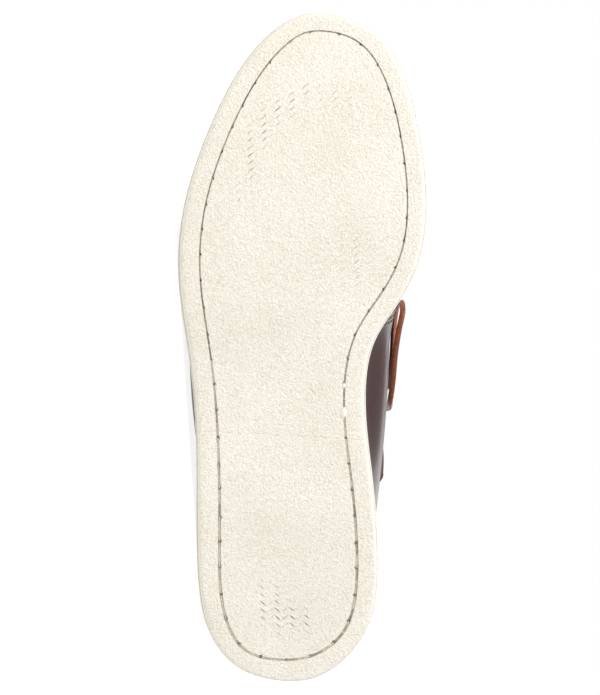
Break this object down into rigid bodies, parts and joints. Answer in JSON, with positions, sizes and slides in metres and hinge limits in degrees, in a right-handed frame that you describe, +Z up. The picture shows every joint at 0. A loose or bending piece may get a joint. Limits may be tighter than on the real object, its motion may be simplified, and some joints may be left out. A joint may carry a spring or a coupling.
{
  "type": "boat shoe",
  "caption": "Right boat shoe lying on its outer side: cream siped rubber sole, dark plum leather moc-toe upper, tongue, insole and a rust leather lace tied in a bow.",
  "frame": {"origin": "on the floor, under the middle of the shoe's box as it lies on its outer side", "axes": "+X along the shoe from the toe to the heel, +Y from the tread to the top of the shoe, +Z up, which is the shoe's inner side"},
  "size_m": [0.2974, 0.1093, 0.1127],
  "materials": {
    "upper_leather": "smooth, semi-gloss",
    "sole_rubber": "matte, fine pebble grain",
    "sock_leather": "matte",
    "lace_leather": "waxed, semi-gloss",
    "eyelet_brass": "aged, satin"
  },
  "bodies": {
    "root": {"bow_knot": "lace_leather", "bow_loop_lateral": "lace_leather", "bow_loop_medial": "lace_leather", "collar_lace_front_lateral": "lace_leather", "collar_lace_front_medial": "lace_leather", "collar_lace_rear_lateral": "lace_leather", "collar_lace_rear_medial": "lace_leather", "eyelet_collar_front_a_lateral": "eyelet_brass", "eyelet_collar_front_a_medial": "eyelet_brass", "eyelet_collar_front_b_lateral": "eyelet_brass", "eyelet_collar_front_b_medial": "eyelet_brass", "eyelet_collar_rear_a_lateral": "eyelet_brass", "eyelet_collar_rear_a_medial": "eyelet_brass", "eyelet_collar_rear_b_lateral": "eyelet_brass", "eyelet_collar_rear_b_medial": "eyelet_brass", "eyelet_front_lateral": "eyelet_brass", "eyelet_front_medial": "eyelet_brass", "eyelet_rear_lateral": "eyelet_brass", "eyelet_rear_medial": "eyelet_brass", "eyestay_lateral": "upper_leather", "eyestay_medial": "upper_leather", "heel_counter": "upper_leather", "insole": "sock_leather", "lace_end_lateral": "lace_leather", "lace_end_medial": "lace_leather", "outsole": "sole_rubber", "throat_lace_front": "lace_leather", "throat_lace_rear": "lace_leather", "tongue": "upper_leather", "upper": "upper_leather"}
  },
  "joints": []
}
